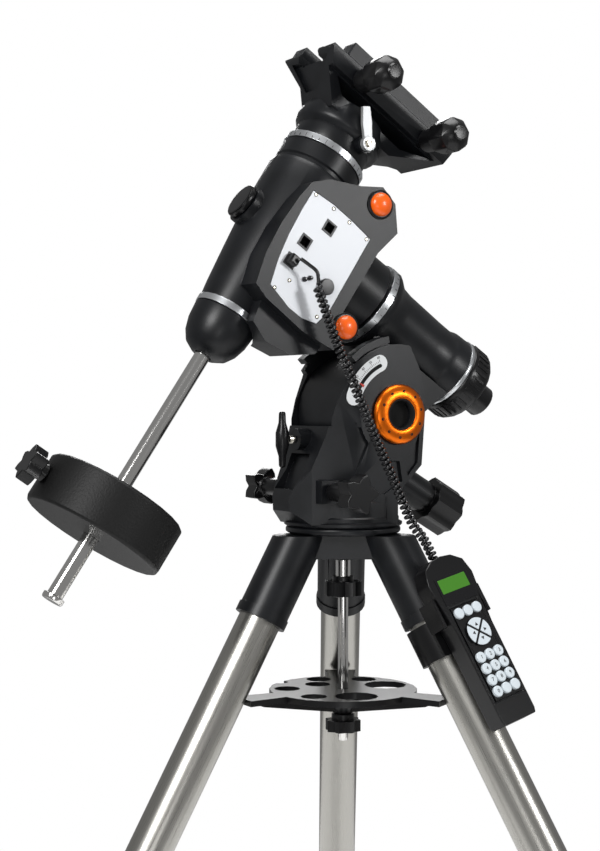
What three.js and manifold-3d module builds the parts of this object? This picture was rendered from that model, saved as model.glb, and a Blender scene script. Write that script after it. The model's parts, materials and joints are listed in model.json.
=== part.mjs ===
// A German equatorial telescope mount on a three-legged steel tripod.
// Millimetres, +Z up. -X is north (the pole), -Y is west, the side with the control panel.
// The mount head is one tree of groups: the stand, the altitude tilt about Y, and the telescope
// head, whose local +Z is the polar axis and whose local +X is the declination axis.
import * as THREE from 'three';
import { mergeVertices } from 'three/addons/utils/BufferGeometryUtils.js';
import Module from 'manifold-3d';

const wasm = await Module();
wasm.setup();

const DEG = Math.PI / 180;
const GAP = 0.3;

// Sides of a large and of a small turned shape.
const ROUND = 24;
const SMALL = 12;

// Driving dimensions of the stand.
const HUB_TOP = 800;
const AXIS_X = 127.7;
const TUBE_R = 25.4;
const LEG_ANGLES = { north: 180, west: -60, east: 60 };
const LEG_SPLAY = 29.4;
const PIVOT_R = 68.5;
const PIVOT_Z = -25;
const UPPER_TUBE_END = 600;
const SLEEVE_R = 30;
const CORE_FACE = 45;
const SLOT_HALF = 18.5;
const TRAY_TOP = -199;
const TRAY_R = 90;

// Driving dimensions of the head.
const LATITUDE = 34.2;
const TRUNNION_X = 38;
const TRUNNION_Z = 135;
const POLAR_RISE = 107.5;
const DEC_REACH = 227.8;
const FORK_INSIDE = 48;
const FORK_OUTSIDE = 64;
const DRUM_R = 74;
const BOX_FACE = 74;

const BLACK_PAINT = { color: 0x1c1d1f, roughness: 0.5, metalness: 0.1 };
const BLACK_PLASTIC = { color: 0x141414, roughness: 0.45, metalness: 0.0 };
const BLACK_RUBBER = { color: 0x101010, roughness: 0.8, metalness: 0.0 };
const STEEL = { color: 0xb9b6ae, roughness: 0.28, metalness: 1.0 };
const CHROME = { color: 0xd6d6d6, roughness: 0.12, metalness: 1.0 };
const ALUMINIUM = { color: 0xc4c7ca, roughness: 0.35, metalness: 1.0 };
const PANEL_SILVER = { color: 0xe4e6e8, roughness: 0.5, metalness: 0.1 };
const ORANGE = { color: 0xee6410, roughness: 0.35, metalness: 0.3 };
const KEY_GREY = { color: 0xdfe5e8, roughness: 0.6, metalness: 0.0 };
const BRASS = { color: 0xb58d45, roughness: 0.35, metalness: 1.0 };

// ---- solids -------------------------------------------------------------------------------

function signedVolume(position, index) {
  let sum = 0;
  const a = new THREE.Vector3();
  const b = new THREE.Vector3();
  const c = new THREE.Vector3();
  for (let i = 0; i < index.length; i += 3) {
    a.fromBufferAttribute(position, index[i]);
    b.fromBufferAttribute(position, index[i + 1]);
    c.fromBufferAttribute(position, index[i + 2]);
    sum += a.dot(b.cross(c));
  }
  return sum;
}

// A three.js geometry as a closed solid: shared vertices, no slivers, faces pointing out.
function solid(geometry) {
  const bare = geometry.clone();
  bare.deleteAttribute('normal');
  bare.deleteAttribute('uv');
  const merged = mergeVertices(bare, 1e-3);
  const position = merged.attributes.position;
  const faces = [];
  for (let i = 0; i < merged.index.count; i += 3) {
    const [a, b, c] = [0, 1, 2].map((k) => merged.index.getX(i + k));
    if (a !== b && b !== c && c !== a) faces.push([a, b, c]);
  }
  const inward = signedVolume(position, faces.flat()) < 0;
  const outward = faces.map(([a, b, c]) => (inward ? [a, c, b] : [a, b, c]));
  return new wasm.Manifold(new wasm.Mesh({
    numProp: 3,
    vertProperties: new Float32Array(position.array),
    triVerts: new Uint32Array(outward.flat()),
  }));
}

function geometryOf(manifold) {
  const mesh = manifold.getMesh();
  const geometry = new THREE.BufferGeometry();
  geometry.setAttribute('position', new THREE.BufferAttribute(new Float32Array(mesh.vertProperties), 3));
  geometry.setIndex(new THREE.BufferAttribute(new Uint32Array(mesh.triVerts), 1));
  return geometry;
}

function join(...geometries) {
  return geometryOf(geometries.map(solid).reduce((sum, next) => sum.add(next)));
}

function cut(geometry, ...tools) {
  return geometryOf(tools.map(solid).reduce((rest, tool) => rest.subtract(tool), solid(geometry)));
}

function common(a, b) {
  return geometryOf(solid(a).intersect(solid(b)));
}

// Turned about +Z from [radius, height] points.
function lathe(profile, segments = SMALL) {
  const points = profile.map(([r, h]) => new THREE.Vector2(r, h));
  return new THREE.LatheGeometry(points, segments).rotateX(90 * DEG);
}

function ring(inner, outer, low, high, segments = ROUND) {
  return lathe([[inner, low], [outer, low], [outer, high], [inner, high], [inner, low]], segments);
}

function rod(radius, low, high, segments = SMALL) {
  return lathe([[0, low], [radius, low], [radius, high], [0, high]], segments);
}

function block(low, high) {
  const size = high.map((value, i) => value - low[i]);
  const centre = high.map((value, i) => (value + low[i]) / 2);
  return new THREE.BoxGeometry(...size).translate(...centre);
}

function prism(outline, low, high) {
  const shape = new THREE.Shape(outline.map(([x, y]) => new THREE.Vector2(x, y)));
  return new THREE.ExtrudeGeometry(shape, { depth: high - low, bevelEnabled: false }).translate(0, 0, low);
}

// Turns a solid built along +Z so that it runs along +X, +Y or -Y.
const alongX = (geometry) => geometry.rotateY(90 * DEG);
const alongY = (geometry) => geometry.rotateX(-90 * DEG);
const alongWest = (geometry) => geometry.rotateX(90 * DEG);

// A side outline in X and Z, given its width in Y.
function sideways(outline, low, high) {
  return prism(outline, -high, -low).rotateX(90 * DEG);
}

function arcPoints(radius, from, to, steps, x = 0, y = 0) {
  const points = [];
  for (let i = 0; i <= steps; i += 1) {
    const angle = (from + ((to - from) * i) / steps) * DEG;
    points.push([x + radius * Math.cos(angle), y + radius * Math.sin(angle)]);
  }
  return points;
}

// The outline of a hand knob with round lobes.
function lobedOutline(radius, lobes, depth) {
  const steps = lobes * 4;
  const points = [];
  for (let i = 0; i < steps; i += 1) {
    const angle = (2 * Math.PI * i) / steps;
    const reach = radius - (depth * (1 - Math.cos(lobes * angle))) / 2;
    points.push([reach * Math.cos(angle), reach * Math.sin(angle)]);
  }
  return points;
}

function paint(finish) {
  return new THREE.MeshStandardMaterial(finish);
}

function add(group, name, geometry, finish) {
  const mesh = new THREE.Mesh(geometryOf(solid(geometry)), paint(finish));
  mesh.name = name;
  group.add(mesh);
  return mesh;
}

// ---- groups -------------------------------------------------------------------------------

const mount = new THREE.Group();
const stand = new THREE.Group();
stand.position.set(AXIS_X, 0, HUB_TOP);
mount.add(stand);

const tilt = new THREE.Group();
tilt.position.set(TRUNNION_X, 0, TRUNNION_Z);
tilt.rotation.y = (LATITUDE - 90) * DEG;
stand.add(tilt);

const head = new THREE.Group();
head.position.set(POLAR_RISE, 0, DEC_REACH);
tilt.add(head);

// ---- tripod -------------------------------------------------------------------------------

// The hub's underside: three blocks between three leg slots, grown by the given clearance.
function hubCore(clearance, low, high) {
  const outline = [];
  for (const angle of Object.values(LEG_ANGLES)) {
    const half = SLOT_HALF - clearance;
    const reach = (CORE_FACE + clearance - half * Math.sin(60 * DEG)) / Math.cos(60 * DEG);
    const corners = [[reach, -half], [36 + clearance, -half], [36 + clearance, half], [reach, half]];
    for (const [x, y] of corners) {
      const c = Math.cos(angle * DEG);
      const s = Math.sin(angle * DEG);
      outline.push([x * c - y * s, x * s + y * c]);
    }
  }
  return prism(outline, low, high);
}

function addHub() {
  const plate = lathe([[0, -9], [66, -9], [70, -7], [70, -2], [68, -GAP], [0, -GAP]], ROUND);
  const core = hubCore(0, -38, -8);
  const peg = rod(5, -2, 24).translate(-50, 0, 0);
  const bore = rod(7.5, -50, 10);
  add(stand, 'tripod_hub', cut(join(plate, core, peg), bore), BLACK_PAINT);
}

function legGroup(angle) {
  const radial = new THREE.Group();
  radial.rotation.z = angle * DEG;
  stand.add(radial);
  const leg = new THREE.Group();
  leg.position.set(PIVOT_R, 0, PIVOT_Z);
  leg.rotation.y = -LEG_SPLAY * DEG;
  radial.add(leg);
  return leg;
}

const inLegFrame = (geometry) => geometry.translate(-PIVOT_R, 0, -PIVOT_Z).rotateY(LEG_SPLAY * DEG);
const LEG_LENGTH = (HUB_TOP + PIVOT_Z) / Math.cos(LEG_SPLAY * DEG);

function addLeg(side, angle) {
  const leg = legGroup(angle);

  const sleeve = rod(SLEEVE_R, -96, 30, ROUND);
  const skirt = ring(SLEEVE_R - 4, SLEEVE_R + 1.5, -96, -84);
  const tongue = inLegFrame(block([40, -17.8, -36], [72, 17.8, -10]));
  const above = inLegFrame(block([-60, -60, -9.6], [160, 60, 60]));
  const core = inLegFrame(hubCore(0.6, -39, 0).rotateZ(180 * DEG));
  const bore = rod(TUBE_R + GAP, -100, -12, ROUND);
  const top = cut(join(sleeve, skirt), above, core, bore);
  add(leg, `leg_top_${side}`, join(top, cut(tongue, above, bore)), BLACK_PAINT);

  add(leg, `leg_tube_${side}`, ring(23, TUBE_R, -UPPER_TUBE_END, -12.4), STEEL);

  const clamp = lathe([[22.6, -638], [30, -638], [33.5, -630], [33.5, -566], [31, -560],
    [25.7, -560], [25.7, -600.4], [22.6, -600.4], [22.6, -638]], ROUND);
  const boss = alongX(rod(10, 28, 42)).translate(0, 0, -619);
  const screwHole = alongX(rod(4.3, 20, 50)).translate(0, 0, -619);
  const hollowBoss = cut(boss, rod(28, -640, -590, ROUND));
  add(leg, `leg_clamp_${side}`, cut(join(clamp, hollowBoss), screwHole), BLACK_PAINT);

  const screw = alongX(rod(4, 22.8, 44));
  const grip = alongX(prism(lobedOutline(17, 5, 5), 42.5, 60));
  add(leg, `leg_lock_knob_${side}`, join(screw, grip).translate(0, 0, -619), BLACK_PLASTIC);

  add(leg, `lower_leg_${side}`, ring(20, 22.2, -(LEG_LENGTH - 24), -352), STEEL);

  const floor = inLegFrame(block([300, -80, -HUB_TOP - 80], [700, 80, -HUB_TOP]));
  const boot = lathe([[0, -930], [26, -930], [27, -LEG_LENGTH + 20], [24.5, -LEG_LENGTH + 54],
    [22.5, -LEG_LENGTH + 54], [22.5, -LEG_LENGTH + 23.7], [0, -LEG_LENGTH + 23.7]], ROUND);
  add(leg, `foot_${side}`, cut(boot, floor), BLACK_RUBBER);
}

function addCentreRod() {
  const shaft = lathe([[0, -262], [5, -262], [6.2, -258], [6.2, -64], [9, -64], [9, -42], [6, -42],
    [6, 12], [0, 12]]);
  const grip = prism(lobedOutline(23, 8, 4), -86, -68);
  const collar = rod(13, -68, -62);
  add(stand, 'centre_rod', shaft, CHROME);
  const knob = cut(join(grip, collar), rod(9.3, -65, -40), rod(6.5, -90, -60));
  add(stand, 'mounting_knob', knob, BLACK_PLASTIC);
}

// Accessory holes of the tray: polar angle, distance from the rod, and radius.
const TRAY_HOLES = [
  { angle: 255, reach: 56, radius: 26 },
  { angle: -5, reach: 58, radius: 26 },
  { angle: 207, reach: 66, radius: 16 },
  { angle: 152, reach: 68, radius: 16 },
  { angle: 107, reach: 42, radius: 16 },
  { angle: 84, reach: 71, radius: 16 },
  { angle: 37, reach: 71, radius: 16 },
  { angle: 120, reach: 88, radius: 9 },
];

function addTray() {
  let tray = lathe([[0, TRAY_TOP - 30], [11, TRAY_TOP - 30], [24, TRAY_TOP - 8], [TRAY_R, TRAY_TOP - 7],
    [TRAY_R, TRAY_TOP], [0, TRAY_TOP]], ROUND);
  for (const angle of Object.values(LEG_ANGLES)) {
    const arm = prism([[20, -24], [90, -16], [138, -20], [138, 20], [90, 16], [20, 24]],
      TRAY_TOP - 7, TRAY_TOP);
    const rib = sideways([[8, TRAY_TOP - 28], [112, TRAY_TOP - 12], [128, TRAY_TOP - 6],
      [8, TRAY_TOP - 6]], -4, 4);
    tray = join(tray, join(arm, rib).rotateZ(angle * DEG));
  }
  const holes = TRAY_HOLES.map(({ angle, reach, radius }) => (
    rod(radius, TRAY_TOP - 20, TRAY_TOP + 5)
      .translate(reach * Math.cos(angle * DEG), reach * Math.sin(angle * DEG), 0)));
  const cradles = Object.values(LEG_ANGLES).map((angle) => (
    rod(TUBE_R + 0.6, -400, 0, ROUND).rotateY(-LEG_SPLAY * DEG)
      .translate(PIVOT_R, 0, PIVOT_Z).rotateZ(angle * DEG)));
  const bore = rod(6.7, TRAY_TOP - 40, TRAY_TOP + 5);
  add(stand, 'spreader_tray', cut(tray, ...holes, ...cradles, bore), BLACK_PLASTIC);

  const under = TRAY_TOP - 30 - GAP;
  const grip = prism(lobedOutline(22, 8, 4), under - 21, under - 7);
  const collar = rod(14, under - 7, under);
  add(stand, 'spreader_knob', cut(join(grip, collar), rod(6.5, under - 30, under + 5)), BLACK_PLASTIC);
}

// ---- azimuth base and fork ----------------------------------------------------------------

const inTrunnion = (points) => points.map(([x, z]) => [x + TRUNNION_X, z + TRUNNION_Z]);

function forkProfile() {
  const front = [[-66, 4], [-86, 20], [-88, 36], [-82, 48], [-67, 69], [-53, 105], [-38, 152], [-22, 184]];
  const crest = inTrunnion(arcPoints(84, 140, 78, 6));
  const back = [[69, 190], [76, 160], [77, 138], [72, 74], [52, 54], [38, 42], [38, 4]];
  return [...front, ...crest, ...back];
}

function ringSector(inner, outer, from, to, steps) {
  return inTrunnion([...arcPoints(outer, from, to, steps), ...arcPoints(inner, to, from, steps)]);
}

function forkPockets() {
  const floor = FORK_OUTSIDE - 4;
  const large = inTrunnion([...arcPoints(54, 196, 220, 3), [-59, -71], [-72, -72], [-97, -50], [-90, -28]]);
  const small = inTrunnion([...arcPoints(56, 246, 272, 3), [6, -80], [-19, -95], [-42, -93], [-50, -72]]);
  const upper = inTrunnion([[-72, 22], [-56, -12], [-82, -14], [-88, 0]]);
  const narrow = inTrunnion([[31, -20], [28, -58], [14, -74], [10, -52], [22, -44]]);
  const tools = [];
  for (const outline of [large, small, upper, narrow]) {
    tools.push(sideways(outline, -90, -floor), sideways(outline, floor, 90));
  }
  return tools;
}

// The rear latitude screw lies in the XZ plane, 30 degrees below the horizontal.
const SCREW_DROP = 30;
const SCREW_ORIGIN = [7, 94];
const FRONT_SCREW_Z = 105;
const AZIMUTH_SCREW = { x: -50, z: 44 };

function placeOnScrew(geometry) {
  return geometry.rotateY(SCREW_DROP * DEG).translate(SCREW_ORIGIN[0], 0, SCREW_ORIGIN[1]);
}

function azimuthBase() {
  const plan = [[-94, -14], [-66, -38], [-12, -FORK_OUTSIDE], [90, -FORK_OUTSIDE],
    [90, FORK_OUTSIDE], [-12, FORK_OUTSIDE], [-66, 38], [-94, 14]];
  const body = common(sideways(forkProfile(), -FORK_OUTSIDE, FORK_OUTSIDE), prism(plan, 0, 260));
  const foot = lathe([[0, 0.3], [70, 0.3], [72, 2], [72, 5], [68, 7], [68, 11], [66, 13],
    [66, 30], [62, 34], [0, 34]], ROUND);
  const ridge = sideways(ringSector(86, 94, 98, 134, 5), -FORK_OUTSIDE, FORK_OUTSIDE);
  const webs = sideways(ringSector(80, 90, 100, 132, 4), -FORK_OUTSIDE + 5, FORK_OUTSIDE - 5);
  const pinBoss = alongX(rod(13, -67, -40)).translate(0, 0, FRONT_SCREW_Z);
  const screwBoss = placeOnScrew(alongX(rod(21, 44, 122, ROUND)));
  const lugs = [-1, 1].map((side) => block([-62, Math.min(side * 30, side * 54), 30],
    [-38, Math.max(side * 30, side * 54), 57]));
  return join(body, foot, ridge, webs, pinBoss, screwBoss, ...lugs);
}

function addFork() {
  const drumRoom = alongY(rod(DRUM_R + 3, -FORK_INSIDE, FORK_INSIDE, ROUND))
    .translate(TRUNNION_X, 0, TRUNNION_Z);
  const polarRoom = block([-20, -FORK_INSIDE, TRUNNION_Z + 40], [140, FORK_INSIDE, 260]);
  const frontRoom = block([-90, -FORK_INSIDE, 121], [0, FORK_INSIDE, 260]);
  const rearRoom = block([40, -FORK_INSIDE, TRUNNION_Z - 40], [140, FORK_INSIDE, 260]);
  const trunnions = alongY(rod(26.5, -100, 100, ROUND)).translate(TRUNNION_X, 0, TRUNNION_Z);
  const screwBore = placeOnScrew(alongX(rod(6.5, 30, 160)));
  const frontBore = alongX(rod(4.4, -90, -20)).translate(0, 0, FRONT_SCREW_Z);
  const azimuthBores = alongY(rod(4.4, -90, 90)).translate(AZIMUTH_SCREW.x, 0, AZIMUTH_SCREW.z);
  const rodBore = rod(6.4, -5, 60);
  const pegRoom = block([-62, -16, -5], [-40, 16, 56]);
  const trough = sideways([[-100, 46], [-70, 46], [-60, 72], [-52, 88], [-100, 88]], -22, 22);
  const base = cut(azimuthBase(), drumRoom, polarRoom, frontRoom, rearRoom, trunnions, screwBore,
    frontBore, azimuthBores, rodBore, pegRoom, trough, ...forkPockets());
  add(stand, 'azimuth_base', base, BLACK_PAINT);
}

function addAdjusters() {
  for (const [side, turn] of [['west', alongWest], ['east', alongY]]) {
    const screw = rod(4, 17, 60);
    const hub = lathe([[0, 58], [9, 58], [11, 62], [11, 98], [15, 101], [0, 101]]);
    const grip = prism(lobedOutline(24, 5, 9), 100, 124);
    const knob = turn(join(screw, hub, grip)).translate(AZIMUTH_SCREW.x, 0, AZIMUTH_SCREW.z);
    add(stand, `azimuth_knob_${side}`, knob, BLACK_PLASTIC);
  }

  const pin = alongX(rod(4, -84, -41));
  const bar = lathe([[0, -34], [4, -33], [4.5, -20], [8, -8], [8, 8], [4.5, 20], [4, 33], [0, 34]])
    .translate(-85, 0, 0);
  add(stand, 'latitude_front_handle', join(pin, bar).translate(0, 0, FRONT_SCREW_Z), BLACK_PLASTIC);

  const screw = alongX(rod(6, 67, 140));
  const grip = alongX(prism(lobedOutline(31, 8, 4), 131, 172));
  const hub = alongX(rod(20, 122.5, 133, ROUND));
  add(stand, 'latitude_rear_knob', placeOnScrew(join(screw, grip, hub)), BLACK_PLASTIC);
}

// ---- altitude body ------------------------------------------------------------------------

function addPolarHousing() {
  const tube = lathe([[41, -151], [56, -151], [56, -156], [52, -162], [46.5, -171], [44.5, -185],
    [43, -240], [43, -262], [45, -267], [46.5, -273], [47, -289.7], [23, -289.7], [23, -187],
    [41, -187], [41, -151]], ROUND)
    .translate(POLAR_RISE, 0, DEC_REACH);
  const outline = [...arcPoints(DRUM_R, 80, 222, 14), ...arcPoints(36, 262, 400, 8)];
  const drum = sideways(outline, -46, 46).rotateY((90 - LATITUDE) * DEG);
  const web = sideways([[0, -34], [74, -62], [74, 66], [40, 60], [0, 34]], -34, 34);
  const axle = alongY(rod(26, -FORK_OUTSIDE - 0.7, FORK_OUTSIDE + 0.7, ROUND));
  const hollows = [-1, 1].map((side) => alongY(rod(17, Math.min(side * 40, side * 80),
    Math.max(side * 40, side * 80), ROUND)));
  const shaftRoom = rod(23, -289.7, -187, ROUND).translate(POLAR_RISE, 0, DEC_REACH);
  const wheelRoom = rod(41, -187, -140, ROUND).translate(POLAR_RISE, 0, DEC_REACH);
  const body = join(drum, web, axle, tube);
  add(tilt, 'polar_housing', cut(body, shaftRoom, wheelRoom, ...hollows), BLACK_PAINT);

  for (const [side, turn] of [['west', alongWest], ['east', alongY]]) {
    const dish = lathe([[19, 65], [36, 65], [36, 68], [33, 71.5], [22, 74], [19, 73], [19, 65]], ROUND);
    add(tilt, `altitude_ring_${side}`, turn(dish), ORANGE);
  }
}

function addPolarRear() {
  const rearProfile = [[23, -296.3], [48, -296.3], [49.5, -300], [49.5, -322], [44, -329], [21.5, -331],
    [21.5, -300], [23, -300], [23, -296.3]];
  add(head, 'polar_rear_cover', lathe(rearProfile, ROUND), BLACK_PLASTIC);
  const cap = lathe([[0, -362], [18.5, -362], [20.5, -359], [20.5, -331.4], [0, -331.4]], ROUND);
  add(head, 'polar_rear_cap', cap, BLACK_PLASTIC);
}

// ---- right ascension body -----------------------------------------------------------------

function addPolarDrive() {
  const shaft = ring(14, 19, -327, -55.4, ROUND);
  add(head, 'polar_shaft', shaft, STEEL);
  const wheel = lathe([[19.4, -183], [38, -183], [40, -181], [39, -177], [40, -173], [38, -171],
    [19.4, -171], [19.4, -183]], ROUND);
  add(head, 'polar_worm_wheel', wheel, BRASS);
  add(head, 'polar_index_ring', ring(41, 56, -150.5, -141, ROUND), ALUMINIUM);
  const lever = alongY(join(lathe([[0, 53.4], [9, 53.4], [9, 63], [0, 63]]),
    block([-4.5, 0, 57], [4.5, 30, 62.5])));
  add(head, 'polar_clutch_lever', lever.translate(0, 0, -118), ALUMINIUM);
}

// Where the two motor caps stand on the panel's side, along the declination and polar axes.
const MOTOR_CAPS = { upper: [79, -62], lower: [-69, -104] };

function panelOutline(grow) {
  const north = [[-86 - grow, 4 + grow], [-56, 12 + grow], [-24, 17 + grow], [8, 19 + grow]];
  const upper = [[37 + grow, 19 + grow], [40 + grow, -12], [39.5 + grow, -42], [37 + grow, -74 - grow]];
  const lower = [[-66, -76 - grow], [-88 - grow, -70 - grow], [-94 - grow, -50], [-94 - grow, -30]];
  return [...north, ...upper, ...lower];
}

function addDecHousing() {
  const barrel = alongX(lathe([[22, -117.7], [39.5, -117.7], [42, -100], [47, -52], [51, -10], [53, 30],
    [54, 70], [52.5, 76], [49.5, 78], [49.5, 82], [51.5, 84], [51.5, 104], [22, 104], [22, -117.7]], ROUND));
  const polarHub = ring(22, 53, -138, -46, ROUND);
  const box = sideways([[-102, 0], [-96, 20], [-60, 29], [-20, 32], [20, 30], [44, 26], [62, 8],
    [81, -29], [99, -54], [93, -79], [66, -101], [30, -92], [-56, -92], [-72, -112], [-100, -106],
    [-106, -60]], -BOX_FACE, 32);
  const lump = sideways([[-90, 0], [-128, -8], [-138, -34], [-132, -70], [-112, -96], [-90, -98]], -58, -8);
  const eastFace = sideways([[-60, 10], [60, 10], [60, -80], [-60, -80]], 20, 60);
  const frontRim = ring(10, 25, 44, 55.4, ROUND);
  const capPads = Object.values(MOTOR_CAPS).map(([u, w]) => (
    alongWest(rod(17, 20, BOX_FACE)).translate(u, 0, w)));
  const ringRoom = alongX(rod(43, -200, -117.8, ROUND));
  const recess = sideways(panelOutline(0.4), -90, -(BOX_FACE - 3));
  const decBore = alongX(rod(22, -130, 120, ROUND));
  const polarBore = rod(19.4, -160, -55, ROUND);
  const polarSight = rod(14, -60, 80);
  const jacks = [[-48, -2], [-19, -5], [14, -22]].map(([u, w]) => (
    block([u - 7, -80, w - 7], [u + 7, -(BOX_FACE - 14), w + 7])));
  const body = join(barrel, polarHub, box, lump, eastFace, frontRim, ...capPads);
  const housing = cut(body, ringRoom, recess, decBore, polarBore, polarSight, ...jacks);
  add(head, 'dec_housing', housing, BLACK_PAINT);

  const panel = cut(sideways(panelOutline(0), -(BOX_FACE - 0.2), -(BOX_FACE - 2.6)), ...jacks);
  add(head, 'control_panel', panel, PANEL_SILVER);
}

function addDecTrim() {
  const cap = lathe([[0, 55.8], [21, 55.8], [22, 57], [22, 62], [20, 64], [0, 64.5]], ROUND);
  add(head, 'polar_front_cap', cap, BLACK_PLASTIC);
  for (const [name, [u, w]] of Object.entries(MOTOR_CAPS)) {
    const dome = alongWest(lathe([[0, 74.4], [14, 74.4], [14, 78], [12, 81.5], [7, 84], [0, 85]], ROUND));
    add(head, `motor_cap_${name}`, dome.translate(u, 0, w), ORANGE);
  }
  add(head, 'dec_lower_ring', alongX(ring(12, 41, -126, -118, ROUND)), ALUMINIUM);
  const cone = alongX(lathe([[10, -180], [16, -179], [27, -172], [34, -161], [38.5, -146], [40, -130],
    [40, -126.3], [12, -126.3], [12, -150], [10, -152], [10, -180]], ROUND));
  add(head, 'bar_cone', cone, BLACK_PAINT);
  const bar = alongX(rod(9.5, -503, -64, ROUND));
  add(head, 'counterweight_bar', bar, CHROME);
  const stop = alongX(lathe([[0, -510], [12, -510], [13, -508], [13, -503.4], [0, -503.4]], ROUND));
  add(head, 'bar_end_stop', stop, CHROME);
}

function addCounterweight() {
  const disc = alongX(lathe([[10, -427], [82, -427], [85, -424], [85, -372], [82, -369], [10, -369],
    [10, -427]], ROUND));
  const screwHole = rod(5.4, 5, 95).translate(-398, 0, 0);
  add(head, 'counterweight', cut(disc, screwHole), BLACK_PAINT);
  const screw = rod(5, 10.5, 92);
  const hub = lathe([[0, 85.5], [11, 85.5], [9, 96], [0, 96]]);
  const grip = prism(lobedOutline(22, 6, 8), 94, 112);
  add(head, 'counterweight_knob', join(screw, hub, grip).translate(-398, 0, 0), BLACK_PLASTIC);
}

// ---- declination body ---------------------------------------------------------------------

const SADDLE_LOW = 186;
const SADDLE_TOP = 206;
const SADDLE_NORTH = 88;
const SADDLE_SOUTH = -116;
const KNOB_STATIONS = { front: 34, rear: -78 };
const CLAMP_U = 190;

function addDecHead() {
  add(head, 'dec_index_ring', alongX(ring(22, 53, 104.4, 113, ROUND)), ALUMINIUM);
  const shaft = alongX(ring(14, 21.6, -60, 113.3, ROUND));
  const neck = alongX(lathe([[14, 113.3], [46, 113.3], [48, 118], [48, 134], [54, 138], [56, 143],
    [55, 158], [50, 170], [14, 170], [14, 113.3]], ROUND));
  const web = sideways([[150, 44], [SADDLE_LOW, SADDLE_NORTH - 8], [SADDLE_LOW + 4, SADDLE_NORTH - 8],
    [SADDLE_LOW + 4, SADDLE_SOUTH + 8], [SADDLE_LOW, SADDLE_SOUTH + 8], [150, -52]], -44, 44);
  const webRoom = [-1, 1].map((side) => sideways([[168, 40], [184, 58], [184, -102], [166, -60]],
    Math.min(side * 10, side * 60), Math.max(side * 10, side * 60)));
  const leverPost = alongWest(rod(11, 40, 56.6)).translate(135, 0, -14);
  const plate = block([SADDLE_LOW, -60, SADDLE_SOUTH], [SADDLE_TOP, 60, SADDLE_NORTH]);
  const eastRail = block([SADDLE_TOP - 2, 34, SADDLE_SOUTH + 6], [SADDLE_TOP + 20, 60, SADDLE_NORTH - 6]);
  const eastBevel = prism([[SADDLE_TOP, 42], [SADDLE_TOP, 30], [SADDLE_TOP + 30, 30],
    [SADDLE_TOP + 30, 34], [SADDLE_TOP + 12, 34]], SADDLE_SOUTH - 5, SADDLE_NORTH + 5);
  const groove = prism([[SADDLE_TOP - 10.4, -24], [SADDLE_TOP - 10.4, -18], [SADDLE_TOP - 9.6, -18],
    [SADDLE_TOP - 9.6, 18], [SADDLE_TOP - 10.4, 18], [SADDLE_TOP - 10.4, 24], [SADDLE_TOP + 5, 20],
    [SADDLE_TOP + 5, -20]], SADDLE_SOUTH - 5, SADDLE_NORTH + 5);
  const reliefs = [[-70, -32], [32, 41]].map(([west, east]) => (
    block([SADDLE_TOP - 1, west, SADDLE_SOUTH - 5], [SADDLE_TOP, east, SADDLE_NORTH + 5])));
  const bolts = Object.values(KNOB_STATIONS).map((w) => (
    alongWest(rod(5.4, -20, 90)).translate(CLAMP_U, 0, w)));
  const westCorner = prism([[SADDLE_LOW - 60, -100], [SADDLE_TOP + 60, -100], [SADDLE_TOP + 60, -62],
    [SADDLE_TOP, -62], [SADDLE_LOW, -54], [SADDLE_LOW - 60, -54]], SADDLE_SOUTH - 5, SADDLE_NORTH + 5);
  const eastCorner = prism([[SADDLE_LOW - 60, 100], [SADDLE_TOP + 60, 100], [SADDLE_TOP + 60, 62],
    [SADDLE_TOP + 2, 62], [SADDLE_LOW - 12, 26], [SADDLE_LOW - 60, 26]], SADDLE_SOUTH - 5, SADDLE_NORTH + 5);
  const northSlope = sideways([[150, 44], [SADDLE_TOP - 3, SADDLE_NORTH + 1],
    [SADDLE_TOP - 3, SADDLE_NORTH + 40], [150, SADDLE_NORTH + 40]], -80, 80);
  const northPocket = common(
    prism([[168, -16], [168, 14], [197, 40], [197, -44]], 30, 120),
    sideways([[153, 40], [206, 85], [200, 95], [140, 60]], -80, 80));
  const top = cut(join(web, plate), ...webRoom, westCorner, eastCorner, northSlope, northPocket);
  const body = join(shaft, neck, leverPost, top, cut(eastRail, eastBevel));
  const bore = alongX(rod(14, -70, 176));
  add(head, 'dec_head', cut(body, groove, bore, ...reliefs, ...bolts), BLACK_PAINT);

  const jawOutline = [[SADDLE_TOP + GAP, -58], [SADDLE_TOP + 19, -58], [SADDLE_TOP + 19, -34],
    [SADDLE_TOP + 12, -34], [SADDLE_TOP + GAP, -42]];
  add(head, 'saddle_jaw', prism(jawOutline, SADDLE_SOUTH + 28, SADDLE_NORTH - 22), BLACK_PAINT);

  for (const [station, w] of Object.entries(KNOB_STATIONS)) {
    const knob = join(rod(5, -16, 64), rod(14, 62.4, 92, ROUND),
      lathe([[0, 90], [20, 91], [21, 96], [21, 120], [14, 128], [0, 133]], 8));
    add(head, `saddle_knob_${station}`, alongWest(knob).translate(CLAMP_U, 0, w), BLACK_PLASTIC);
  }

  const blade = prism([[-5, 0], [-6.5, 24], [-5, 44], [5, 44], [6.5, 24], [5, 0]], 57.4, 62.4);
  const handle = join(rod(9, 57, 64), blade);
  add(head, 'dec_clutch_lever', leverPose(handle), ALUMINIUM);
}

// The declination clutch lever stands on the west of the neck and leans north.
function leverPose(geometry) {
  return alongWest(geometry).rotateY(52 * DEG).translate(135, 0, -14);
}

// ---- hand controller ----------------------------------------------------------------------

const HOLDER_TURN = -25;
const HOLDER_S = -122;
const HAND_OFFSET = 58;
const HAND_RISE = -19;

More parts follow.
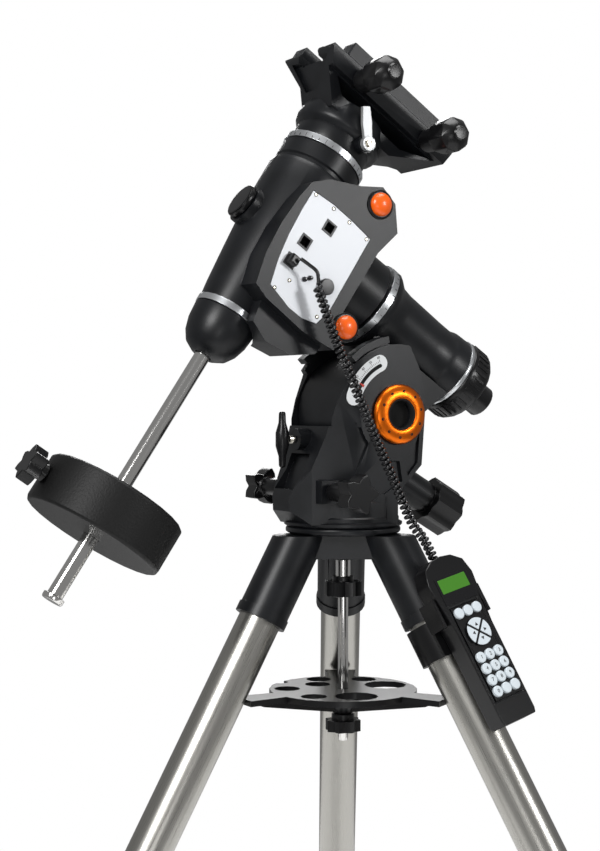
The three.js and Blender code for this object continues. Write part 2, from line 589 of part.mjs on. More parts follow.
function addController() {
  const leg = legGroup(LEG_ANGLES.west);
  const holder = new THREE.Group();
  holder.position.set(0, 0, HOLDER_S);
  holder.rotation.z = HOLDER_TURN * DEG;
  leg.add(holder);

  const band = ring(TUBE_R + GAP, TUBE_R + 6, -22, 22, ROUND);
  const backplate = block([TUBE_R + 3, -22, -22], [HAND_OFFSET - 16, 22, 22]);
  const ears = [-1, 1].map((side) => block([HAND_OFFSET - 20, Math.min(side * 33.5, side * 37), 4],
    [HAND_OFFSET + 8, Math.max(side * 33.5, side * 37), 38]));
  const shelf = block([HAND_OFFSET - 18.5, -37, -24], [HAND_OFFSET - 14.5, 37, 38]);
  const bracket = cut(join(band, backplate, shelf, ...ears), rod(TUBE_R + GAP, -60, 60, ROUND));
  add(holder, 'controller_bracket', bracket, BLACK_PLASTIC);

  const outline = [[-25, -104], [25, -104], [27, -98], [28, 10], [32, 48], [35, 72], [30, 90], [16, 99],
    [0, 101], [-16, 99], [-30, 90], [-35, 72], [-32, 48], [-28, 10], [-27, -98]];
  const shell = prism(outline, -14, 12).rotateY(90 * DEG).rotateX(90 * DEG);
  const keyRoom = block([9, -22, -76], [30, 22, 40]);
  const body = cut(shell, keyRoom);
  add(holder, 'hand_controller', body.translate(HAND_OFFSET, 0, HAND_RISE), BLACK_PLASTIC);

  add(holder, 'keypad', keypad().translate(HAND_OFFSET, 0, HAND_RISE), KEY_GREY);
}

// One moulded silicone mat: three function keys, a four-way pad and four rows of three keys.
function keypad() {
  const keys = [block([9.8, -21, -75], [11.8, 21, 39])];
  for (const y of [-14, 0, 14]) {
    for (const z of [31, -24, -38, -52, -66]) keys.push(alongX(rod(5.2, 11, 15, 8)).translate(0, y, z));
  }
  keys.push(alongX(rod(15, 11, 15)).translate(0, 0, 4));
  return join(...keys);
}

// ---- cord ---------------------------------------------------------------------------------

// Route of the curly cord and of its straight lead, from the tripod's axis and the hub's top.
const COIL_ROUTE = [[-92, -94, 281], [-72, -98, 226], [-49, -100, 175], [-22, -101, 117], [4, -106, 59],
  [24, -113, 10], [38.5, -116.5, -10], [45.3, -127.7, -32.7]];
const LEAD_ROUTE = [[-112, -91, 312], [-104, -94, 306], [-94, -96, 298], [-91.5, -95.6, 287.5]];
const COIL_R = 6.3;
const LEAD_R = 2.2;

function tubeAlong(points, radius, sides, steps) {
  const curve = new THREE.CatmullRomCurve3(points.map((p) => new THREE.Vector3(...p)));
  const section = new THREE.Shape(arcPoints(radius, 0, 360 - 360 / sides, sides - 1)
    .map(([x, y]) => new THREE.Vector2(x, y)));
  return new THREE.ExtrudeGeometry(section, { steps, bevelEnabled: false, extrudePath: curve });
}

function addCord() {
  add(stand, 'cord_coil', tubeAlong(COIL_ROUTE, COIL_R, 8, 22), BLACK_RUBBER);
  add(stand, 'cord_lead', tubeAlong(LEAD_ROUTE, LEAD_R, 8, 6), BLACK_RUBBER);
  const plug = block([-54, -86, -8], [-42, -(BOX_FACE - 13), 4]);
  add(head, 'cord_plug', plug, BLACK_PLASTIC);
}

// ---- assembly -----------------------------------------------------------------------------

addHub();
for (const [side, angle] of Object.entries(LEG_ANGLES)) addLeg(side, angle);
addCentreRod();
addTray();
addFork();
addAdjusters();
addPolarHousing();
addPolarRear();
addPolarDrive();
addDecHousing();
addDecTrim();
addCounterweight();
addDecHead();
addController();
addCord();

export default mount;
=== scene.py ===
"""Looks of an equatorial telescope mount, built round its CAD frame.

Shapes are written in millimetres and scaled by MM; the frame itself is in metres.
HEAD is the telescope head's own frame: u (x) along the declination axis, v (y) east and
w (z) along the polar axis. STAND has its origin on the tripod's axis at the hub's top.
"""
import json
import math

import bmesh
import bpy
from mathutils import Matrix, Vector


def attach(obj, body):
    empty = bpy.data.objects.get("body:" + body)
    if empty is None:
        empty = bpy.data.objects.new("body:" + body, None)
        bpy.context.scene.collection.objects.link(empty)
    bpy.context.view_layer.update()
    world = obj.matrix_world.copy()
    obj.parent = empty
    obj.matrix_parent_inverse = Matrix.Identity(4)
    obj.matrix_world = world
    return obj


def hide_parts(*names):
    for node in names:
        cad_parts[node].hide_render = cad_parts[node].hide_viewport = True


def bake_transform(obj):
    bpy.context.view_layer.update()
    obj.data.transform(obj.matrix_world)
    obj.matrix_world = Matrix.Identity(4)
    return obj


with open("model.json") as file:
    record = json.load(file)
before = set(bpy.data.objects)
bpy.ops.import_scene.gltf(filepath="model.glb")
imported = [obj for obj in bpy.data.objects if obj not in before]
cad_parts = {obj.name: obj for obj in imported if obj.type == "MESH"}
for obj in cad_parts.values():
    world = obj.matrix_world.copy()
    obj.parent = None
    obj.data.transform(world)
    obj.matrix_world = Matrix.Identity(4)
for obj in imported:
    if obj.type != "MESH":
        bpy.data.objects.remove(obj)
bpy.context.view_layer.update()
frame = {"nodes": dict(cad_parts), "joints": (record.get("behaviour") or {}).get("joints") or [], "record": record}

MM = 0.001
JOINTS = {joint["name"]: joint for joint in frame["joints"]}
EAST = Vector((0, 1, 0))


def axes(x, y, z, origin):
    columns = [Vector(x), Vector(y), Vector(z), Vector(origin)]
    matrix = Matrix.Identity(4)
    for column, vector in enumerate(columns):
        for row in range(3):
            matrix[row][column] = vector[row]
    return matrix


def joint_axis(name):
    return Vector(JOINTS[name]["axis"]).normalized()


def shift(x=0.0, y=0.0, z=0.0):
    return Matrix.Translation(Vector((x, y, z)) * MM)


def turn(degrees, axis):
    return Matrix.Rotation(math.radians(degrees), 4, axis)


POLAR = joint_axis("right_ascension_turn")
DEC = joint_axis("declination_turn")
HEAD = axes(DEC, EAST, POLAR, JOINTS["declination_turn"]["pos_m"])
STAND = Matrix.Translation(Vector(JOINTS["azimuth_turn"]["pos_m"]))
TRUNNION = Matrix.Translation(Vector(JOINTS["altitude_tilt"]["pos_m"]))

# A drawing plane seen from the west: x stays, y goes up and z comes towards the viewer.
FROM_WEST = turn(90, "X")
FROM_EAST = turn(-90, "X") @ turn(180, "Z")
ALONG_X = turn(90, "Y")

LEG_ANGLES = {"north": 180, "west": -60, "east": 60}
PIVOT_R = 68.5
PIVOT_Z = -25.0


def leg_frame(side):
    """The leg's own frame: z up along its tube, x outwards."""
    up = -joint_axis(f"leg_extension_{side}")
    out = joint_axis(f"leg_lock_{side}")
    pivot = STAND @ turn(LEG_ANGLES[side], "Z") @ Vector((PIVOT_R * MM, 0, PIVOT_Z * MM))
    return axes(out, up.cross(out), up, pivot)


# The hand controller's own frame: its holder's place down the leg and turn round it, then its stand-off.
HOLDER_S = -122
HOLDER_TURN = -25
HAND_OFFSET = 58
HAND_RISE = -19
HAND = (leg_frame("west") @ shift(z=HOLDER_S) @ turn(HOLDER_TURN, "Z")
        @ shift(x=HAND_OFFSET, z=HAND_RISE))


# ---- camera ---------------------------------------------------------------------------------

EYE = (-0.8927, -1.6625, 0.946)
BEARING = -30
LENS = 67.7
SENSOR = 36.0
SHIFT_UP = -0.024


def add_camera():
    """A level camera to the north-west of the mount."""
    data = bpy.data.cameras.new("camera")
    data.lens = LENS
    data.sensor_width = SENSOR
    data.shift_y = SHIFT_UP
    camera = bpy.data.objects.new("camera", data)
    camera.location = EYE
    camera.rotation_euler = (math.radians(90), 0, math.radians(BEARING))
    bpy.context.scene.collection.objects.link(camera)
    bpy.context.scene.camera = camera


add_camera()


# ---- materials ------------------------------------------------------------------------------

def new_material(name, color, roughness, metallic=0.0, **sockets):
    material = bpy.data.materials.new(name)
    material.use_nodes = True
    shader = material.node_tree.nodes["Principled BSDF"]
    shader.inputs["Base Color"].default_value = (*color, 1)
    shader.inputs["Roughness"].default_value = roughness
    shader.inputs["Metallic"].default_value = metallic
    for socket, value in sockets.items():
        shader.inputs[socket.replace("_", " ")].default_value = value
    return material


def grain(material, scale, height, distance=0.0004, stretch=None):
    """A fine procedural bump; stretch is (direction, ratio) for a brushed surface."""
    nodes = material.node_tree.nodes
    links = material.node_tree.links
    place = nodes.new("ShaderNodeTexCoord")
    noise = nodes.new("ShaderNodeTexNoise")
    noise.inputs["Scale"].default_value = scale
    noise.inputs["Detail"].default_value = 3.0
    bump = nodes.new("ShaderNodeBump")
    bump.inputs["Strength"].default_value = height
    bump.inputs["Distance"].default_value = distance
    vector = place.outputs["Object"]
    if stretch:
        direction, ratio = stretch
        tilt = nodes.new("ShaderNodeMapping")
        tilt.inputs["Rotation"].default_value = direction.rotation_difference(Vector((0, 0, 1))).to_euler()
        squeeze = nodes.new("ShaderNodeMapping")
        squeeze.inputs["Scale"].default_value = (1, 1, ratio)
        links.new(vector, tilt.inputs["Vector"])
        links.new(tilt.outputs["Vector"], squeeze.inputs["Vector"])
        vector = squeeze.outputs["Vector"]
    links.new(vector, noise.inputs["Vector"])
    links.new(noise.outputs["Fac"], bump.inputs["Height"])
    links.new(bump.outputs["Normal"], nodes["Principled BSDF"].inputs["Normal"])
    return noise


def mottle(material, dark, light, scale):
    """Lets the colour drift slightly between two tones."""
    nodes = material.node_tree.nodes
    links = material.node_tree.links
    place = nodes.new("ShaderNodeTexCoord")
    noise = nodes.new("ShaderNodeTexNoise")
    noise.inputs["Scale"].default_value = scale
    ramp = nodes.new("ShaderNodeValToRGB")
    ramp.color_ramp.elements[0].position = 0.3
    ramp.color_ramp.elements[0].color = (*dark, 1)
    ramp.color_ramp.elements[1].position = 0.7
    ramp.color_ramp.elements[1].color = (*light, 1)
    links.new(place.outputs["Object"], noise.inputs["Vector"])
    links.new(noise.outputs["Fac"], ramp.inputs["Fac"])
    links.new(ramp.outputs["Color"], nodes["Principled BSDF"].inputs["Base Color"])


def rough_range(material, noise, low, high):
    """Roughness that follows the brushed grain."""
    nodes = material.node_tree.nodes
    links = material.node_tree.links
    span = nodes.new("ShaderNodeMapRange")
    span.inputs["To Min"].default_value = low
    span.inputs["To Max"].default_value = high
    links.new(noise.outputs["Fac"], span.inputs["Value"])
    links.new(span.outputs["Result"], nodes["Principled BSDF"].inputs["Roughness"])


def powder_coat():
    material = new_material("powder_coat", (0.005, 0.0055, 0.0065), 0.36, 0.0, Specular_IOR_Level=0.36)
    mottle(material, (0.0035, 0.004, 0.005), (0.007, 0.0078, 0.0095), 35)
    grain(material, 900, 0.22, 0.0002)
    return material


def weight_paint():
    material = new_material("weight_paint", (0.004, 0.004, 0.004), 0.5, 0.0, Specular_IOR_Level=0.3)
    grain(material, 420, 0.6, 0.0006)
    return material


def moulding():
    material = new_material("moulding", (0.004, 0.004, 0.0045), 0.28, 0.0, Specular_IOR_Level=0.38)
    grain(material, 700, 0.12, 0.0002)
    return material


def brushed_steel(name, direction):
    material = new_material(name, (0.46, 0.45, 0.42), 0.3, 1.0)
    noise = grain(material, 900, 0.10, 0.0002, (direction, 0.02))
    rough_range(material, noise, 0.22, 0.36)
    return material


def turned_metal(name, color, roughness):
    material = new_material(name, color, roughness, 1.0)
    grain(material, 600, 0.06, 0.0002)
    return material


COAT = powder_coat()
WEIGHT = weight_paint()
PLASTIC = moulding()
RUBBER = new_material("rubber", (0.012, 0.012, 0.012), 0.62)
CORD = new_material("cord_sheath", (0.010, 0.010, 0.011), 0.22)
ALUMINIUM = turned_metal("turned_aluminium", (0.72, 0.74, 0.76), 0.3)
CHROME = new_material("chrome", (0.80, 0.79, 0.77), 0.12, 1.0)
BOLT = new_material("bolt_steel", (0.66, 0.63, 0.56), 0.24, 1.0)
BRASS = new_material("brass", (0.60, 0.42, 0.17), 0.3, 1.0)
ORANGE = turned_metal("orange_anodised", (0.95, 0.19, 0.012), 0.32)
ORANGE_CAP = new_material("orange_cap", (1.0, 0.13, 0.002), 0.3, 0.0, Coat_Weight=0.3)
PANEL = new_material("panel_silver", (0.54, 0.555, 0.58), 0.42, 0.35)
LEVER = new_material("cast_lever", (0.50, 0.51, 0.52), 0.42, 0.6)
WHITE = new_material("scale_white", (0.72, 0.74, 0.75), 0.5)
INK = new_material("ink", (0.01, 0.01, 0.01), 0.5)
# Near-black and fully matte: painted shade laid into the slot, the bores, the dimples and the socket backs.
PAINTED_SHADE = new_material("hollow", (0.002, 0.002, 0.002), 0.9)
RED = new_material("red_pointer", (0.6, 0.03, 0.01), 0.4)
KEYS = new_material("keys", (0.60, 0.66, 0.70), 0.42)
SCREEN = new_material("screen", (0.05, 0.20, 0.014), 0.25)
GLOSS = new_material("gloss_black", (0.006, 0.006, 0.007), 0.12)
SOCKET = new_material("socket_moulding", (0.035, 0.035, 0.037), 0.4)

STEEL_OF_LEG = {
    side: brushed_steel(f"brushed_steel_{side}", joint_axis(f"leg_extension_{side}"))
    for side in LEG_ANGLES
}


# ---- mesh helpers ---------------------------------------------------------------------------

SMOOTH_ANGLE = math.radians(42)
WELD_GAP = 0.02


def dress(obj, material, bevel=0.0):
    """Gives a mesh its material, smooth shading and rounded edges, leaving its vertices alone."""
    mesh = obj.data
    mesh.materials.clear()
    mesh.materials.append(material)
    if "custom_normal" in mesh.attributes:
        mesh.attributes.remove(mesh.attributes["custom_normal"])
        weld = obj.modifiers.new("shared corners", "WELD")
        weld.merge_threshold = WELD_GAP * MM
    mesh.shade_smooth()
    if not bevel:
        mesh.set_sharp_from_angle(angle=SMOOTH_ANGLE)
        return
    rounding = obj.modifiers.new("rounded edges", "BEVEL")
    rounding.width = bevel * MM
    rounding.segments = 2
    rounding.limit_method = "ANGLE"
    rounding.angle_limit = SMOOTH_ANGLE
    rounding.harden_normals = True


def piece(name, vertices, faces, place, material, body, bevel=0.0):
    """A mesh from millimetre points in its own frame, riding on a CAD body."""
    mesh = bpy.data.meshes.new(name)
    mesh.from_pydata([place @ (Vector(v) * MM) for v in vertices], [], faces)
    tidy = bmesh.new()
    tidy.from_mesh(mesh)
    bmesh.ops.recalc_face_normals(tidy, faces=tidy.faces)
    tidy.to_mesh(mesh)
    tidy.free()
    obj = bpy.data.objects.new(name, mesh)
    bpy.context.scene.collection.objects.link(obj)
    dress(obj, material, bevel)
    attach(obj, body)


def turned(name, profile, place, material, body, sides=48):
    """A shape turned about its local z from [radius, height] points."""
    vertices = []
    rows = []
    for radius, height in profile:
        count = sides if radius > 0 else 1
        rows.append(range(len(vertices), len(vertices) + count))
        for i in range(count):
            angle = 2 * math.pi * i / sides
            vertices.append((radius * math.cos(angle), radius * math.sin(angle), height))
    faces = []
    for low, high in zip(rows, rows[1:]):
        for i in range(sides):
            corners = [low[i % len(low)], low[(i + 1) % len(low)],
                       high[(i + 1) % len(high)], high[i % len(high)]]
            face = list(dict.fromkeys(corners))
            if len(face) > 2:
                faces.append(face)
    piece(name, vertices, faces, place, material, body)


def slab(name, outline, low, high, place, material, body, bevel=0.0):
    """A flat outline given a thickness along its local z."""
    count = len(outline)
    vertices = [(x, y, low) for x, y in outline] + [(x, y, high) for x, y in outline]
    faces = [list(range(count)), list(range(count, 2 * count))]
    faces += [[i, (i + 1) % count, count + (i + 1) % count, count + i] for i in range(count)]
    piece(name, vertices, faces, place, material, body, bevel)


def rectangle(width, height, x=0.0, y=0.0):
    """The four corners of a rectangle centred on x, y."""
    return [(x - width / 2, y - height / 2), (x + width / 2, y - height / 2),
            (x + width / 2, y + height / 2), (x - width / 2, y + height / 2)]


def arc(radius, start, end, steps):
    """Points along an arc, between two angles in degrees."""
    return [(radius * math.cos(math.radians(start + (end - start) * i / steps)),
             radius * math.sin(math.radians(start + (end - start) * i / steps)))
            for i in range(steps + 1)]


def screw_head(name, place, radius, body, sides):
    """A bolt head with a socket, standing on its washer."""
    turned(f"{name}_washer", [(0, 0), (radius * 1.25, 0), (radius * 1.25, 0.8), (0, 0.8)],
           place, BOLT, body, 28)
    turned(f"{name}_head", [(0, 0.8), (radius, 0.8), (radius, radius * 0.7), (radius * 0.88, radius * 0.82),
                            (radius * 0.5, radius * 0.82), (radius * 0.5, radius * 0.4), (0, radius * 0.4)],
           place, BOLT, body, sides)


def add_label(name, text, size, place, material, body):
    """Centred lettering with a little thickness, as a mesh."""
    curve = bpy.data.curves.new(name, "FONT")
    curve.body = text
    curve.size = size * MM
    curve.align_x = "CENTER"
    curve.align_y = "CENTER"
    curve.extrude = 0.1 * MM
    source = bpy.data.objects.new(f"{name}_text", curve)
    bpy.context.scene.collection.objects.link(source)
    bpy.context.view_layer.update()
    mesh = bpy.data.meshes.new_from_object(source)
    bpy.data.objects.remove(source)
    mesh.transform(place)
    obj = bpy.data.objects.new(name, mesh)
    bpy.context.scene.collection.objects.link(obj)
    dress(obj, material)
    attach(obj, body)


# ---- cords ----------------------------------------------------------------------------------

# The coil's centreline and the straight lead, from the stand's origin, as in the CAD.
COIL_ROUTE = [(-92, -94, 281), (-72, -98, 226), (-49, -100, 175), (-22, -101, 117), (4, -106, 59),
              (24, -113, 10), (38.5, -116.5, -10), (45.3, -127.7, -32.7)]
LEAD_ROUTE = [(-112, -91, 312), (-104, -94, 306), (-94, -96, 298), (-91.5, -95.6, 287.5)]
STRAND_R = 2.2
COIL_R = 6.3
TURN_PITCH = 6.2
POINTS_PER_TURN = 14
BODY_CHANGES = (150.0, 60.0)


def spline(points, steps):
    """A smooth line through the points, each span cut into steps."""
    p = [Vector(point) for point in points]
    p = [2 * p[0] - p[1]] + p + [2 * p[-1] - p[-2]]
    line = []
    for i in range(1, len(p) - 2):
        for k in range(steps):
            t = k / steps
            line.append(0.5 * (2 * p[i] + (p[i + 1] - p[i - 1]) * t
                               + (2 * p[i - 1] - 5 * p[i] + 4 * p[i + 1] - p[i + 2]) * t * t
                               + (3 * p[i] - p[i - 1] - 3 * p[i + 1] + p[i + 2]) * t ** 3))
    line.append(p[-2])
    return line


def evenly(line, gap):
    """Points a fixed distance apart along a line."""
    total = sum((b - a).length for a, b in zip(line, line[1:]))
    count = round(total / gap)
    spaced = [line[0]]
    travelled = 0.0
    for a, b in zip(line, line[1:]):
        span = (b - a).length
        while len(spaced) < count and travelled + span >= len(spaced) * total / count:
            share = (len(spaced) * total / count - travelled) / span
            spaced.append(a.lerp(b, share))
        travelled += span
    spaced.append(line[-1])
    return spaced


def helix(line, radius):
    """Winds a strand round a centreline of evenly spaced points."""
    wound = []
    side = Vector((1, 0, 0))
    for i, point in enumerate(line):
        ahead = (line[min(i + 1, len(line) - 1)] - line[max(i - 1, 0)]).normalized()
        side = (side - side.dot(ahead) * ahead).normalized()
        angle = 2 * math.pi * i / POINTS_PER_TURN
        wound.append(point + radius * (math.cos(angle) * side + math.sin(angle) * ahead.cross(side)))
    return wound


def strand(name, path, material, sides=8):
    """A round tube along a path of points in metres, with closed ends."""
    rows = []
    vertices = []
    side = Vector((0.3, 0.5, 0.8))
    for i, point in enumerate(path):
        ahead = (path[min(i + 1, len(path) - 1)] - path[max(i - 1, 0)]).normalized()
        side = (side - side.dot(ahead) * ahead).normalized()
        rows.append(range(len(vertices), len(vertices) + sides))
        for k in range(sides):
            angle = 2 * math.pi * k / sides
            spoke = math.cos(angle) * side + math.sin(angle) * ahead.cross(side)
            vertices.append(point + STRAND_R * MM * spoke)
    faces = [list(rows[0])[::-1], list(rows[-1])]
    for low, high in zip(rows, rows[1:]):
        for k in range(sides):
            n = (k + 1) % sides
            faces.append([low[k], low[n], high[n], high[k]])
    mesh = bpy.data.meshes.new(name)
    mesh.from_pydata(vertices, [], faces)
    mesh.shade_smooth()
    mesh.materials.append(material)
    obj = bpy.data.objects.new(name, mesh)
    bpy.context.scene.collection.objects.link(obj)
    return obj


def in_row_frame(points):
    return [STAND @ (Vector(p) * MM) for p in points]


def add_cords():
    centre = evenly(spline(COIL_ROUTE, 40), TURN_PITCH / POINTS_PER_TURN)
    wound = in_row_frame(helix(centre, COIL_R - STRAND_R))
    heights = [point[2] for point in centre]
    cuts = [0] + [next(i for i, z in enumerate(heights) if z < change) for change in BODY_CHANGES]
    cuts.append(len(wound) - 1)
    for number, (low, high) in enumerate(zip(cuts, cuts[1:])):
        path = wound[low:high + 1]
        obj = strand(f"curly_cord_{number + 1}", path, CORD)
        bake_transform(obj)
    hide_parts("cord_coil")

    lead_path = in_row_frame(spline(LEAD_ROUTE + [centre[0] + Vector((0, -1, 3))], 10)[:-1])
    lead_path.append(wound[0])
    lead = strand("curly_cord_lead", lead_path, CORD, 10)
    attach(lead, "polar")
    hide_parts("cord_lead")


add_cords()


# ---- finishes of the CAD nodes --------------------------------------------------------------

def finish_nodes():
    """Each CAD node's material and edge rounding, by the slot that the record gives it."""
    looks = {
        "black_paint": (COAT, 1.8),
        "black_plastic": (PLASTIC, 2.2),
        "rubber": (RUBBER, 1.0),
        "stainless": (ALUMINIUM, 0.3),
        "chrome": (CHROME, 0.5),
        "aluminium": (ALUMINIUM, 0.4),
        "panel": (PANEL, 0.3),
        "orange": (ORANGE, 0.8),
        "keys": (PLASTIC, 0.5),
        "brass": (BRASS, 0.4),
    }
    special = {
        "counterweight": WEIGHT,
        "dec_clutch_lever": LEVER,
        "motor_cap_upper": ORANGE_CAP,
        "motor_cap_lower": ORANGE_CAP,
    }
    for entry in frame["record"]["subparts"]:
        node = frame["nodes"][entry["node"]]
        material, bevel = looks[entry["material_slot"]]
        for side, steel in STEEL_OF_LEG.items():
            if entry["material_slot"] == "stainless" and node.name.endswith(side):
                material = steel
        dress(node, special.get(node.name, material), bevel)


finish_nodes()


# ---- fork details ---------------------------------------------------------------------------

def rounded_band(inner, outer, start, end):
    """A band between two radii, from one angle to another, with round ends."""
    middle = (inner + outer) / 2
    half = (outer - inner) / 2
    outline = arc(outer, start, end, 24)
    for angle, side in ((end, 0), (start, 180)):
        centre = Vector(arc(middle, angle, angle, 1)[0])
        cap = [centre + half * Vector(point) for point in arc(1, angle + side, angle + side + 180, 8)]
        outline += [tuple(point) for point in cap]
        if side == 0:
            outline += arc(inner, end, start, 24)
    return outline


def add_latitude_scale():
    """A white arc plate with a slot, its graduations and a red pointer, on the west fork arm."""
    plane = TRUNNION @ FROM_WEST
    slab("latitude_plate", rounded_band(56, 76, 113, 162), 64.0, 64.9, plane, WHITE, "azimuth", 0.2)
    # The slot is a near-black strip on the plate's face. It stands for the black fork arm behind it, with painted
    # shade in the slot.
    slab("latitude_slot", rounded_band(61, 65.5, 114, 161), 64.6, 65.0, plane, PAINTED_SHADE, "azimuth")
    for i in range(25):
        angle = 113 + 2 * i
        length = 3.6 if i % 5 == 0 else 2.0
        tick = [(67, -0.25), (67 + length, -0.25), (67 + length, 0.25), (67, 0.25)]
        slab(f"latitude_tick_{i}", tick, 64.8, 65.05, plane @ turn(angle, "Z"), INK, "azimuth")
        if i % 5 == 0:
            figure = plane @ turn(angle, "Z") @ shift(73, 0, 65.0) @ turn(-90, "Z")
            add_label(f"latitude_figure_{i}", str(60 - 2 * i), 4.2, figure, INK, "azimuth")
    pointer = [(59.5, -1.6), (66.5, -0.2), (66.5, 0.2), (59.5, 1.6)]
    slab("latitude_pointer", pointer, 65.0, 66.0, plane @ turn(146, "Z"), RED, "altitude", 0.1)


def add_ring_details():
    """The altitude rings' spanner dimples and the bore behind them, both near-black: painted shade in the dimples
    and the bore.
    """
    for side, face in (("west", FROM_WEST), ("east", FROM_EAST)):
        plane = TRUNNION @ face
        # A near-black cup lining the bore: painted shade.
        turned(f"altitude_bore_{side}", [(0, 58), (18.6, 58), (18.6, 72.6), (17, 72.6), (17, 60), (0, 60)],
               plane, PAINTED_SHADE, "altitude", 40)
        for i in range(10):
            # Each dimple is a near-black disc: painted shade in the dimple.
            place = plane @ turn(36 * i + 12, "Z") @ shift(x=27.5)
            turned(f"ring_dimple_{side}_{i}", [(0, 71.5), (1.8, 71.5), (1.8, 72.95), (1.2, 73.05), (0, 72.6)],
                   place, PAINTED_SHADE, "altitude", 16)


add_latitude_scale()
add_ring_details()


# ---- head details ---------------------------------------------------------------------------

# Places on the panel are (u, w) in the head's frame. The panel's face looks west.
PANEL_FACE = 73.8
PANEL_SCREWS = [(35, 14), (36, -14), (36, -40), (34, -70), (-81, -66), (-86, -2), (-68, -13)]
SOCKETS = {"motor": (-48, -2), "guide": (-19, -5), "aux": (14, -22)}


def add_panel_details():
    """Screws, sockets, the power socket's cap and two switches."""
    plane = HEAD @ FROM_WEST
    for i, (u, w) in enumerate(PANEL_SCREWS):
        place = plane @ shift(u, w, PANEL_FACE)
        turned(f"panel_screw_{i}", [(0, -0.5), (2.6, -0.5), (2.4, 0.8), (1.2, 1.1), (1.0, 0.4), (0, 0.4)],
               place, BOLT, "polar", 20)
    for name, (u, w) in SOCKETS.items():
        place = plane @ shift(u, w, PANEL_FACE)
        # Each socket's back is a near-black plate deep inside it: painted shade in the socket.
        slab(f"socket_back_{name}", rectangle(13.4, 13.4), -13.0, -12.0, place, PAINTED_SHADE, "polar")
        for way in (-1, 1):
            slab(f"socket_rim_{name}_{way}", rectangle(2.2, 15.6, way * 6.7), -1.0, 0.8, place, SOCKET,
                 "polar")
            slab(f"socket_lip_{name}_{way}", rectangle(11.2, 2.2, 0, way * 6.7), -1.0, 0.8, place, SOCKET,
                 "polar")
    turned("power_cap", [(0, -0.5), (9.6, -0.5), (9.6, 5.0), (8.6, 6.2), (0, 6.6)],
           plane @ shift(-46, -56, PANEL_FACE), PLASTIC, "polar", 36)
    for i, (u, w) in enumerate(((-55, -28.5), (-49.5, -33.5))):
        turned(f"panel_switch_{i}", [(0, -0.5), (3.0, -0.5), (3.0, 1.6), (2.2, 4.2), (0, 4.6)],
               plane @ shift(u, w, PANEL_FACE), GLOSS, "polar", 20)


def add_rear_ring():
    """The bright locking ring between the polar housing and its rear cover."""
    turned("rear_lock_ring", [(24, -296), (47.5, -296), (48.2, -295), (48.2, -291.4), (47.5, -290.2),
                              (24, -290.2)], HEAD, ALUMINIUM, "altitude", 64)
    for i in range(36):
        rib = HEAD @ turn(10 * i, "Z")
        slab(f"rear_rib_{i}", rectangle(1.6, 3.2, 49.4), -320, -302, rib, PLASTIC, "altitude",
             0.3)


def add_ring_marks():
    """Graduations on the polar and declination setting rings."""
    for i in range(36):
        length = 5.5 if i % 3 == 0 else 3.2
        slab(f"polar_mark_{i}", rectangle(0.3, 0.5, 55.95), -149.5, -149.5 + length,
             HEAD @ turn(10 * i, "Z"), INK, "polar")
        slab(f"dec_mark_{i}", rectangle(0.3, 0.5, 52.95), 105.2, 105.2 + length,
             HEAD @ ALONG_X @ turn(10 * i, "Z"), INK, "declination")


def add_head_screws():
    """The motor caps' collars, the clutch lever's screw and the saddle knobs' end faces."""
    for i, (u, w) in enumerate(((79, -62), (-69, -104))):
        turned(f"cap_collar_{i}", [(14.2, 73), (17.6, 73), (17.6, 75.2), (16.4, 76.2), (14.2, 76.2)],
               HEAD @ FROM_WEST @ shift(u, w), PLASTIC, "polar", 40)
    screw_head("lever_screw_dec", HEAD @ FROM_WEST @ shift(135, -14, 64), 4.6, "dec_clutch_lever",
               32)
    for station, w in (("front", 34), ("rear", -78)):
        turned(f"knob_end_{station}", [(0, 0), (9, 0), (7.5, 1.6), (0, 2.2)],
               HEAD @ FROM_WEST @ shift(190, w, 131.4), PLASTIC, f"saddle_knob_{station}",
               32)


def thread(valley, crest, start, points):
    """Profile points of a screw thread of 1 mm pitch, from its start height."""
    return [(crest if i % 2 else valley, start + 0.5 * i) for i in range(points)]


def add_screw_threads():
    """Bright threads showing between the azimuth knobs, the front handle and the fork."""
    for side, face, x in (("west", FROM_WEST, -50), ("east", FROM_EAST, 50)):
        turned(f"azimuth_thread_{side}", [(0, 54)] + thread(4.5, 4.1, 54, 8) + [(0, 58)],
               STAND @ face @ shift(x, 44), BOLT, f"azimuth_knob_{side}", 24)
    turned("front_thread", thread(4.15, 4.6, -76, 10) + [(4.15, -68.5)],
           STAND @ shift(z=105) @ ALONG_X, BOLT, "latitude_front_handle", 24)


add_panel_details()
add_rear_ring()
add_ring_marks()
add_head_screws()
add_screw_threads()


# ---- hand controller ------------------------------------------------------------------------

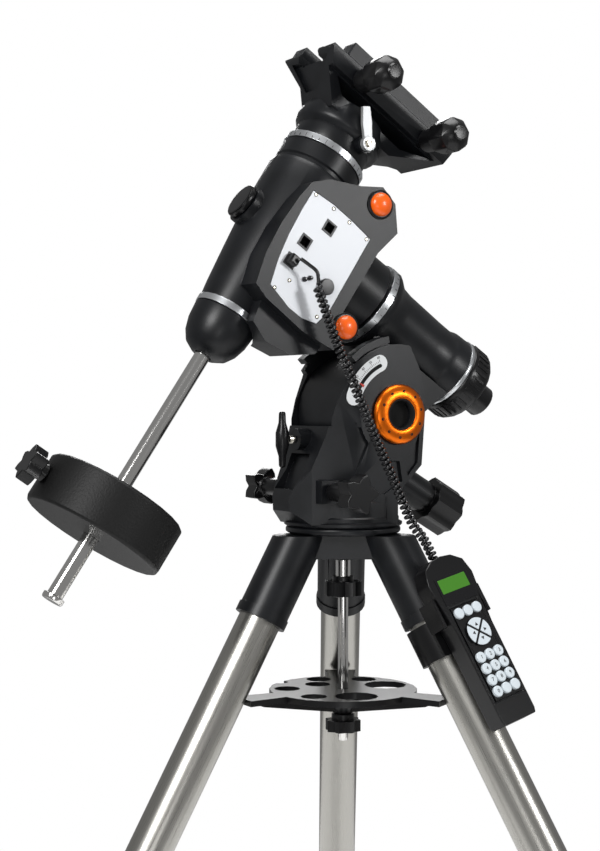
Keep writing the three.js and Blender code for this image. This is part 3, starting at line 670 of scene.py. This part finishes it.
def add_controller_face():
    """The screen, the key caps and their figures, on a plane whose z comes out of the face."""
    face = HAND @ turn(90, "Y") @ turn(90, "Z")
    slab("screen_bezel", rectangle(50, 34, 0, 60.5), 11.8, 12.7, face, GLOSS, "tripod", 0.4)
    slab("screen_glass", rectangle(43, 17, 0, 66), 12.5, 12.9, face, SCREEN, "tripod", 0.2)
    cap = [(0, 14.5), (5.4, 14.5), (5.4, 11.9), (6.4, 11.9), (6.4, 14.8), (5.6, 15.6), (0, 15.9)]
    figures = iter("1234567890")
    for z in (31, -24, -38, -52, -66):
        for y in (-14, 0, 14):
            turned(f"key_cap_{z + 70}_{y + 14}", cap, face @ shift(y, z), KEYS, "keypad", 24)
            figure = next(figures, "") if z < 0 else ""
            if figure:
                add_label(f"key_figure_{figure}", figure, 6.0, face @ shift(y, z, 15.95), INK, "keypad")
    quarter = [(0, 2.0)] + arc(16.4, 50, 130, 12)
    for i in range(4):
        side = face @ shift(0, 4, 0) @ turn(90 * i, "Z")
        slab(f"pad_key_{i}", quarter, 14.6, 16.0, side, KEYS, "keypad", 0.5)
        slab(f"arrow_{i}", [(-2.2, 7), (2.2, 7), (0, 11)], 15.9, 16.1, side, INK, "keypad")


add_controller_face()


# ---- studio ---------------------------------------------------------------------------------

FLOOR_R = 1.35


def add_studio():
    """A pale round floor, a white surround that lights the mount softly, and five soft lamps."""
    mesh = bpy.data.meshes.new("floor")
    rim = [(x, y, 0) for x, y in arc(FLOOR_R, 0, 354, 59)]
    mesh.from_pydata(rim, [], [range(len(rim))])
    floor = bpy.data.objects.new("floor", mesh)
    mesh.materials.append(new_material("floor", (0.9, 0.9, 0.9), 0.85))
    bpy.context.scene.collection.objects.link(floor)

    world = bpy.data.worlds.new("studio")
    world.use_nodes = True
    nodes = world.node_tree.nodes
    background = nodes["Background"]
    background.inputs["Color"].default_value = (1, 1, 1, 1)
    # Full white where the surround itself is in view, and dimmer where it only lights the mount.
    seen = nodes.new("ShaderNodeLightPath")
    strength = nodes.new("ShaderNodeMapRange")
    strength.inputs["To Min"].default_value = 0.24
    strength.inputs["To Max"].default_value = 1.0
    world.node_tree.links.new(seen.outputs["Is Camera Ray"], strength.inputs["Value"])
    world.node_tree.links.new(strength.outputs["Result"], background.inputs["Strength"])
    bpy.context.scene.world = world

    lamps = [("key", (-2.4, -1.5, 2.3), 1.1, 66), ("strip", (1.6, -2.6, 1.6), 0.6, 24),
             ("top", (0.3, -0.3, 3.2), 1.5, 44), ("back", (1.4, 2.4, 2.2), 1.2, 46),
             ("low", (-1.2, -2.6, 0.5), 0.8, 6)]
    for name, where, size, power in lamps:
        data = bpy.data.lights.new(name, "AREA")
        data.size = size
        data.energy = power
        lamp = bpy.data.objects.new(name, data)
        lamp.location = where
        aim = Vector((0.1, 0, 0.95)) - Vector(where)
        lamp.rotation_euler = aim.to_track_quat("-Z", "Y").to_euler()
        bpy.context.scene.collection.objects.link(lamp)
    bpy.context.scene.view_settings.view_transform = "Standard"


add_studio()
